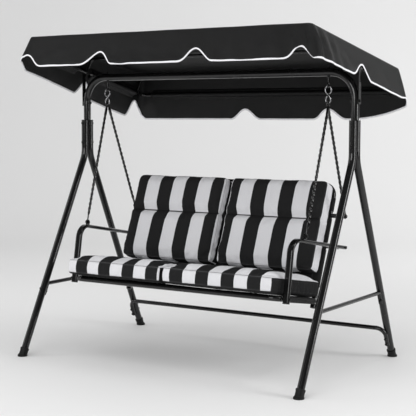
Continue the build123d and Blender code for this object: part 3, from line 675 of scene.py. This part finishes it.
def canopy_sleeves():
    """Pockets on all four sides, left open at the corners, the bows and the tilt bolts."""
    low_f, high_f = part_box("canopy_front_loop")
    low_r, high_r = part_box("canopy_rear_loop")
    tube = 0.009
    x = high_f.x - tube
    front = (low_f.y + tube, high_f.z - tube)
    rear = (high_r.y - tube, low_r.z + tube)

    def loop_z(y):
        return front[1] + (rear[1] - front[1]) * (y - front[0]) / (rear[0] - front[0])

    for name, (y, z), lean, reach in (("front", front, 0.23, 0.0110), ("rear", rear, 0.18, 0.0140)):
        out = (0, -1 if name == "front" else 1, 0)
        sleeve(f"canopy_{name}_sleeve", (-0.745, y, z), (0.745, y, z), out, reach, lean)
    spans = ((-0.385, -0.060), (0.060, 0.470))
    for side, word in ((-1, "left"), (1, "right")):
        for number, (y0, y1) in enumerate(spans, 1):
            sleeve(f"canopy_{word}_sleeve_{number}", (side * x, y0, loop_z(y0)),
                   (side * x, y1, loop_z(y1)), (side, 0, 0), 0.0150, 0.36)


# --------------------------------------------------------------------- slings

SEAT_TILT = math.radians(9.7)
BACK_RECLINE = math.radians(22.0)
SEAT_ORIGIN = np.array([0.0, -0.360, 0.398])
SEAT_Y = np.array([0.0, math.cos(SEAT_TILT), -math.sin(SEAT_TILT)])
SEAT_Z = np.array([0.0, math.sin(SEAT_TILT), math.cos(SEAT_TILT)])
BACK_ORIGIN = SEAT_ORIGIN + SEAT_Y * 0.432
BACK_Y = np.array([0.0, math.sin(BACK_RECLINE), math.cos(BACK_RECLINE)])
BACK_Z = np.array([0.0, -math.cos(BACK_RECLINE), math.sin(BACK_RECLINE)])
SEAT_FRAME = (SEAT_ORIGIN, SEAT_Y, SEAT_Z)
BACK_FRAME = (BACK_ORIGIN, BACK_Y, BACK_Z)


def to_world(local, axes):
    origin, along, away = axes
    local = np.asarray(local, float)
    x_axis = np.array([1.0, 0, 0])
    return (origin + np.outer(local[:, 0], x_axis) + np.outer(local[:, 1], along)
            + np.outer(local[:, 2], away))


def sling(name, node, axes, half_x, start, stop, bands, tube_r=0.014, sag=0.006):
    """A panel stretched between two tubes, each edge wrapped round its tube in bands."""
    lift = tube_r + 0.0011
    flat = [(half_x * (2 * i / 40 - 1), lift) for i in range(41)]
    angles = [math.radians(a) for a in range(75, -166, -15)]
    right = [(half_x + lift * math.cos(a), lift * math.sin(a)) for a in angles]
    left = [(-x, z) for x, z in reversed(right)]
    profile = left + flat[1:-1] + right
    steps = int((stop - start) / 0.010)
    points, weft, thread = [], [], []
    for i in range(steps + 1):
        along = start + (stop - start) * i / steps
        for j, (x, z) in enumerate(profile):
            hang = 0.0
            if abs(x) < half_x:
                hang = sag * math.cos(math.pi * x / (2 * half_x)) ** 2
            points.append((x, along, z - hang))
            weft.append((j * 0.018, along, 0))
            thread.append((along, abs(abs(x) - half_x + 0.02), 0))
    columns = len(profile)
    faces = []
    wrapped = len(right)
    for face in ribbon_faces(steps + 1, columns):
        row = min(face) // columns
        column = min(f % columns for f in face)
        along = start + (stop - start) * (row + 0.5) / steps
        on_tube = column < wrapped - 1 or column >= columns - wrapped
        if not on_tube or any(a < along < b for a, b in bands):
            faces.append(face)
    world = to_world(points, axes)
    piece = make_piece(name, world, faces, SLING_MESH, "seat")
    write_vectors(piece.data, "weft", weft)
    write_vectors(piece.data, "thread", thread)
    thicken(piece, 0.0012, offset=0.0)
    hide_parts(node)


# ------------------------------------------------------------------- cushions

def box_shell(counts):
    """The lattice points on a box's surface and its outward quads with their side names."""
    index, lattice, faces, sides = {}, [], [], []

    def number(key):
        if key not in index:
            index[key] = len(lattice)
            lattice.append(key)
        return index[key]

    for axis in range(3):
        b, c = (axis + 1) % 3, (axis + 2) % 3
        for level in (0, counts[axis]):
            for i in range(counts[b]):
                for j in range(counts[c]):
                    corners = []
                    for di, dj in ((0, 0), (1, 0), (1, 1), (0, 1)):
                        key = [0, 0, 0]
                        key[axis], key[b], key[c] = level, i + di, j + dj
                        corners.append(number(tuple(key)))
                    faces.append(tuple(corners if level else corners[::-1]))
                    sides.append((axis, 1 if level else -1))
    return np.array(lattice, float), faces, sides


CUSHION_STEP = 0.0075   # spacing of a cushion's lattice
PUFF_CAP = 0.010        # the furthest the cloth swells out
PUFF_FRAMES = 20
CREASE_DEPTH = 0.003
INNER_LIMIT = 0.0025    # each cushion keeps this far from the middle before it is refitted
BACK_DARK_DEPTH = 0.070     # behind this the inner side of a back cushion is black, partly its own black rear panel and partly painted shade in the gap between the back cushions


def dome(t, power=5.0):
    return np.sqrt(np.clip(1 - np.abs(t) ** power, 0, 1))


def puff(piece, held):
    """Inflates a piece as cloth with the held points still, then keeps the shape."""
    start = np.array([v.co for v in piece.data.vertices])
    group = piece.vertex_groups.new(name="held")
    group.add([int(i) for i in held], 1.0, "REPLACE")
    modifier = piece.modifiers.new("puff", "CLOTH")
    settings = modifier.settings
    settings.quality = 5
    settings.mass = 0.3
    settings.tension_stiffness = 12
    settings.compression_stiffness = 12
    settings.shear_stiffness = 4
    settings.bending_stiffness = 0.25
    settings.use_pressure = True
    settings.uniform_pressure_force = 4.0
    settings.effector_weights.gravity = 0.0
    settings.vertex_group_mass = "held"
    settings.shrink_min = -0.035
    modifier.collision_settings.use_collision = False
    scene = bpy.context.scene
    for number in range(1, PUFF_FRAMES + 1):
        scene.frame_set(number)
    graph = bpy.context.evaluated_depsgraph_get()
    swollen = np.array([v.co for v in piece.evaluated_get(graph).data.vertices])
    piece.modifiers.clear()
    scene.frame_set(1)
    move = swollen - start
    length = np.linalg.norm(move, axis=1)
    soft = PUFF_CAP * np.tanh(length / PUFF_CAP)
    move *= (soft / np.maximum(length, 1e-9))[:, None]
    piece.data.vertices.foreach_set("co", (start + move).astype(np.float32).ravel())
    piece.data.update()


def cushion(kind, axes, spec):
    """Builds the right-hand cushion of a kind, puffs it, and mirrors it for the left."""
    lows, highs = np.array(spec["low"]), np.array(spec["high"])
    counts = [max(4, int(round(s / CUSHION_STEP))) for s in highs - lows]
    lattice, faces, sides = box_shell(counts)
    share = lattice / np.array(counts)
    if spec["crease"]:
        crease_share = (spec["crease"] - lows[1]) / (highs[1] - lows[1])
        knots = [0, round(counts[1] * crease_share), counts[1]]
        share[:, 1] = np.interp(lattice[:, 1], knots, [0, crease_share, 1])
    rest = lows + (highs - lows) * share
    half = (highs - lows) / 2
    middle = (highs + lows) / 2
    xi = 2 * share[:, 0] - 1
    eta = 2 * share[:, 1] - 1

    corner = spec["corner"]
    dx, dy = rest[:, 0] - middle[0], rest[:, 1] - middle[1]
    qx = np.clip(dx, -(half[0] - corner), half[0] - corner)
    qy = np.clip(dy, -(half[1] - corner), half[1] - corner)
    ex, ey = dx - qx, dy - qy
    size = np.maximum(np.hypot(ex, ey), 1e-9)
    scale = np.maximum(np.abs(ex), np.abs(ey)) / size
    dx, dy = qx + ex * scale, qy + ey * scale

    level = rest[:, 2].copy()
    swell = dome(xi) * dome(eta)
    front = share[:, 2] == 1
    rear = share[:, 2] == 0
    crown = spec["crown"] * swell
    hang = dome(xi, 14.0) * dome(eta, 14.0)
    if spec["crease"]:
        off = rest[:, 1] - spec["crease"]
        below = np.sqrt(np.clip(1 - (1 - np.clip(-off / 0.015, 0, 1)) ** 2, 0, 1))
        above = np.sqrt(np.clip(1 - (1 - np.clip(off / 0.030, 0, 1)) ** 2, 0, 1))
        round_ends = dome(xi, 9.0) * dome(eta, 12.0)
        crown = spec["crown"] * round_ends * np.where(off < 0, below, 0.85 * above)
        crown -= CREASE_DEPTH * dome(xi, 14.0) * np.where(off < 0, 1 - below, 1 - above)
        pinch = 0.007 * np.exp(-(off / 0.014) ** 2) * (np.abs(xi) > 0.98) * (share[:, 2] > 0.5)
        dx -= np.sign(dx) * pinch
    dx += spec["draft"] * share[:, 2] * np.clip(-xi, 0, 1) ** 4
    level[front] += crown[front]
    level[rear] -= (spec["belly"] * hang)[rear]
    local = np.stack([middle[0] + dx, middle[1] + dy, level], 1)

    on_rim = (np.abs(xi) == 1) | (np.abs(eta) == 1)
    held = on_rim & (front | rear)
    if spec["crease"]:
        held |= front & (np.abs(rest[:, 1] - spec["crease"]) < 0.0045)
    indices = [spec["paint"](side, sign, rest[list(face), 2].mean())
               for (side, sign), face in zip(sides, faces)]

    edge = np.minimum(half[0] - np.abs(rest[:, 0] - middle[0]),
                      half[1] - np.abs(rest[:, 1] - middle[1]))
    flat = front | rear
    to_seam = np.where(flat & ~on_rim, edge,
                       np.minimum(rest[:, 2] - lows[2], highs[2] - rest[:, 2]))
    run = np.where(np.abs(xi) > np.abs(eta), rest[:, 1], rest[:, 0])
    weft = np.where((np.abs(xi) == 1)[:, None] & ~flat[:, None],
                    np.stack([rest[:, 1], rest[:, 2], rest[:, 2]], 1),
                    np.stack([rest[:, 0], rest[:, 1] + rest[:, 2], rest[:, 2]], 1))
    thread = np.stack([run, to_seam, to_seam * 0], 1)

    world = to_world(local, axes)
    piece = make_piece(f"right_{kind}_cushion_cover", world, faces, spec["materials"], "seat",
                       indices)
    puff(piece, np.nonzero(held)[0])
    settle(piece, axes, spec)
    write_vectors(piece.data, "rest", rest)
    write_vectors(piece.data, "weft", weft)
    write_vectors(piece.data, "thread", thread)
    mirrored = piece.data.copy()
    roughen(piece.data, 1.0)
    mirrored.transform(Matrix.Diagonal((-1, 1, 1, 1)))
    mirrored.flip_normals()
    roughen(mirrored, 7.0)
    other = bpy.data.objects.new(f"left_{kind}_cushion_cover", mirrored)
    bpy.context.scene.collection.objects.link(other)
    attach(other, "seat")
    for item, side in ((piece, "right"), (other, "left")):
        refit(item.data, spec[side])
        item.modifiers.new("smooth", "SUBSURF").levels = 1
        bake(item)
        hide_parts(f"{side}_{kind}_cushion")


def settle(piece, axes, spec):
    """Flattens the underside where the cushion lies on its sling, and keeps it clear."""
    origin, _, away = axes
    points = np.array([v.co for v in piece.data.vertices])
    level = (points - origin) @ away
    low = np.maximum(spec["floor"] - level, 0)
    points += low[:, None] * away
    points[:, 0] = np.maximum(points[:, 0], INNER_LIMIT)
    piece.data.vertices.foreach_set("co", points.astype(np.float32).ravel())


def refit(mesh, knots):
    """Slides a cushion's vertices along x, as the filling has settled to one side."""
    points = np.array([v.co for v in mesh.vertices])
    was, now = knots
    hand = np.sign(points[:, 0].mean())
    points[:, 0] = hand * np.interp(points[:, 0] * hand, was, now)
    mesh.vertices.foreach_set("co", points.astype(np.float32).ravel())
    mesh.update()


def roughen(mesh, seed):
    """Small soft lumps of filling under the cloth, different on each cushion."""
    points = np.array([v.co for v in mesh.vertices])
    normals = np.array([v.normal for v in mesh.vertices])
    lumps = np.array([0.0022 * noise.noise(Vector(p) * 9.0 + Vector((seed, 0, 0)))
                      + 0.0010 * noise.noise(Vector(p) * 26.0 + Vector((0, seed, 0)))
                      for p in points])
    points += normals * lumps[:, None]
    mesh.vertices.foreach_set("co", points.astype(np.float32).ravel())
    mesh.update()


def seat_paint(axis, sign, _):
    """Material number of a face: black sides and underside, stripes elsewhere. The black underside
    is painted shade under the cushion's front edge.
    """
    # Painted shade: the underside is black for the shade under the seat cushion's front edge.
    return 1 if axis == 0 or (axis == 2 and sign < 0) else 0


def back_paint(axis, sign, depth):
    """Material number of a face: striped front and bottom, black rear, pale sides and top, except
    the rear of the inner side, which is black, partly as painted shade in the gap between the
    cushions.
    """
    if axis == 2:
        return 0 if sign > 0 else 1
    # Painted shade, in part: behind BACK_DARK_DEPTH the inner side is black, for the gap between
    # the cushions.
    if axis == 0 and sign < 0 and depth < BACK_DARK_DEPTH:
        return 1
    return 2 if axis == 0 or sign > 0 else 0


def cushions():
    """Sizes along x, up the frame and away from it. The right and left knots are the places
    of points along x before and after the filling settles."""
    seat = {"low": (0.003, -0.073, 0.0290), "high": (0.593, 0.411, 0.092),
            "right": ((-0.05, 0.003, 0.039, 0.11, 0.7), (-0.064, -0.011, 0.035, 0.11, 0.7)),
            "left": ((-0.05, 0.003, 0.039, 0.11, 0.7), (-0.026, 0.027, 0.036, 0.108, 0.7)),
            "crown": 0.028, "belly": 0.014, "crease": None, "corner": 0.010, "draft": 0.0,
            "floor": 0.0170, "paint": seat_paint, "materials": [SEAT_STRIPES, BLACK_PANEL]}
    back = {"low": (0.008, 0.132, 0.027), "high": (0.567, 0.592, 0.094),
            "right": ((-0.1, 0.7), (-0.1, 0.7)),
            "left": ((-0.1, 0.0, 0.567, 0.7), (-0.094, 0.006, 0.586, 0.719)),
            "crown": 0.022, "belly": 0.009, "crease": BACK_CREASE, "corner": 0.022,
            "draft": 0.006, "floor": 0.0185, "paint": back_paint,
            "materials": [BACK_STRIPES, BLACK_PANEL, PALE_PANEL]}
    cushion("seat", SEAT_FRAME, seat)
    cushion("back", BACK_FRAME, back)


# ---------------------------------------------------------------------- stage

EYE = (2.979, -4.719, 1.212)
EYE_HEADING = 32.402    # degrees, to the left of straight ahead
EYE_DROP = 4.594        # degrees below level
EYE_ROLL = 0.141
LENS_MM = 94.64
ROOM_LIGHT = 0.68
REFLECTION_LOSS = 0.57
FLOOR_TONES = ((0.76, 0.76, 0.76, 1), (0.78, 0.78, 0.78, 1))
FLOOR_HALF_WIDTH = 16.0
FLOOR_FRONT = -9.0
SWEEP_START = 5.0
SWEEP_RADIUS = 4.0
WALL_TOP = 12.0
# Each light's name, place, target, size and power.
LIGHTS = (
    ("overhead", (0.3, -0.6, 5.2), (0, 0, 0.6), (5.0, 4.0), 70),
    ("left_softbox", (-4.8, -3.0, 2.6), (0, 0, 0.8), (1.2, 3.5), 45),
    ("right_softbox", (5.0, 0.6, 2.4), (0, 0, 0.9), (1.1, 3.5), 110),
    ("front_fill", (0.6, -6.5, 2.6), (0, 0, 0.8), (4.0, 2.5), 150),
    ("backdrop_wash", (2.6, 5.2, 2.5), (-2.2, 8.1, 1.5), (3.0, 3.0), 120),
)


def stage_material():
    s = Shader("studio_floor")
    cloud = s.noise(s.place(), 0.7, 3)
    s.set(Base_Color=s.blend(cloud, *FLOOR_TONES), Roughness=0.7)
    return s.material


def backdrop():
    """A floor that sweeps up into a far wall, square to the camera's view."""
    profile = [(FLOOR_FRONT, 0.0), (SWEEP_START, 0.0)]
    for i in range(1, 17):
        angle = math.pi / 2 * i / 16
        profile.append((SWEEP_START + SWEEP_RADIUS * math.sin(angle),
                        SWEEP_RADIUS * (1 - math.cos(angle))))
    profile.append((SWEEP_START + SWEEP_RADIUS, WALL_TOP))
    turn = Matrix.Rotation(math.radians(32.4), 4, "Z")
    points = []
    for x in (-FLOOR_HALF_WIDTH, FLOOR_HALF_WIDTH):
        points.extend(turn @ Vector((x, y, z - 0.0005)) for y, z in profile)
    columns = len(profile)
    faces = [(j, columns + j, columns + j + 1, j + 1) for j in range(columns - 1)]
    mesh = bpy.data.meshes.new("studio_floor")
    mesh.from_pydata([tuple(p) for p in points], [], faces)
    mesh.materials.append(stage_material())
    mesh.polygons.foreach_set("use_smooth", [True] * len(faces))
    floor = bpy.data.objects.new("studio_floor", mesh)
    bpy.context.scene.collection.objects.link(floor)


def area_light(name, place, target, size, power):
    light = bpy.data.lights.new(name, "AREA")
    light.shape = "RECTANGLE"
    light.size, light.size_y = size
    light.energy = power
    lamp = bpy.data.objects.new(name, light)
    bpy.context.scene.collection.objects.link(lamp)
    lamp.location = place
    lamp.rotation_euler = (Vector(target) - Vector(place)).to_track_quat("-Z", "Y").to_euler()


def surroundings():
    """An even white room, darker where it is only seen as a reflection."""
    world = bpy.data.worlds.new("studio")
    world.use_nodes = True
    tree = world.node_tree
    background = tree.nodes["Background"]
    background.inputs[0].default_value = (1, 1, 1, 1)
    path = tree.nodes.new("ShaderNodeLightPath")
    dim = tree.nodes.new("ShaderNodeMath")
    dim.operation = "MULTIPLY_ADD"
    tree.links.new(path.outputs["Is Glossy Ray"], dim.inputs[0])
    dim.inputs[1].default_value = -REFLECTION_LOSS
    dim.inputs[2].default_value = ROOM_LIGHT
    tree.links.new(dim.outputs[0], background.inputs[1])
    bpy.context.scene.world = world


def studio():
    backdrop()
    surroundings()
    bpy.context.scene.view_settings.view_transform = "Standard"
    for light in LIGHTS:
        area_light(*light)


def camera():
    lens = bpy.data.cameras.new("view")
    lens.sensor_width = 36.0
    lens.lens = LENS_MM
    eye = bpy.data.objects.new("view", lens)
    bpy.context.scene.collection.objects.link(eye)
    eye.location = EYE
    look = Matrix.Rotation(math.radians(EYE_HEADING), 4, "Z")
    look = look @ Matrix.Rotation(math.radians(90 - EYE_DROP), 4, "X")
    look = look @ Matrix.Rotation(math.radians(EYE_ROLL), 4, "Z")
    eye.rotation_euler = look.to_euler()
    bpy.context.scene.camera = eye


# ----------------------------------------------------------------------- main

finish_cad_nodes()
for hanger_name in ("front_hanger", "rear_hanger"):
    twisted_hanger(f"right_{hanger_name}", 1)
    twisted_hanger(f"left_{hanger_name}", -1)
hem_binding(*canopy_sheet())
canopy_sleeves()
sling("seat_support_mesh", "seat_sling", SEAT_FRAME, 0.5898, 0.045, 0.385, [(0.06, 0.37)])
sling("back_support_mesh", "back_sling", BACK_FRAME, 0.5616, 0.062, 0.535,
      [(0.07, 0.262), (0.302, 0.424), (0.46, 0.53)], sag=0.004)
cushions()
studio()
camera()
